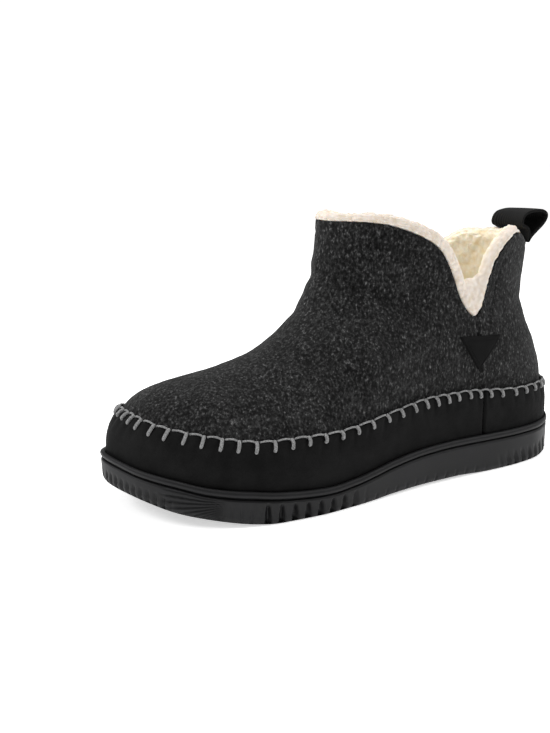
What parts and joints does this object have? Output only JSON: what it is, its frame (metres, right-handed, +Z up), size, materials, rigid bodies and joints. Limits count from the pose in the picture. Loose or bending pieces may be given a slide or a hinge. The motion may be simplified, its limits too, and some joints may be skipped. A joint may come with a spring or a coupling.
{
  "type": "moccasin slipper",
  "caption": "Ankle-high left moccasin slipper: charcoal felt upper, suede rand with blanket stitch, curly cream lining, side notches, rubber cup sole and heel pull loop.",
  "frame": {"origin": "on the floor, under the middle of the outsole's box", "axes": "-Y towards the toe, +Y towards the heel, +X towards the wearer's outer side, +Z up"},
  "size_m": [0.1167, 0.29, 0.151],
  "materials": {
    "outsole_rubber": "moulded dark grey rubber, satin",
    "insole_fabric": "cream pile insole, matt",
    "upper_felt": "charcoal heather wool felt, matt",
    "collar_fleece": "cream curly pile, matt",
    "rand_front_suede": "black suede with a short nap",
    "rand_heel_suede": "black suede with a short nap",
    "heel_strip_webbing": "black flat webbing",
    "gusset_lateral_suede": "black suede with a short nap",
    "gusset_medial_suede": "black suede with a short nap",
    "pull_loop_webbing": "black ribbed webbing"
  },
  "bodies": {
    "root": {"outsole": "outsole_rubber", "insole": "insole_fabric", "upper": "upper_felt", "fleece_collar": "collar_fleece", "rand_front": "rand_front_suede", "rand_heel": "rand_heel_suede", "heel_strip": "heel_strip_webbing", "gusset_lateral": "gusset_lateral_suede", "gusset_medial": "gusset_medial_suede", "pull_loop": "pull_loop_webbing"}
  },
  "joints": []
}
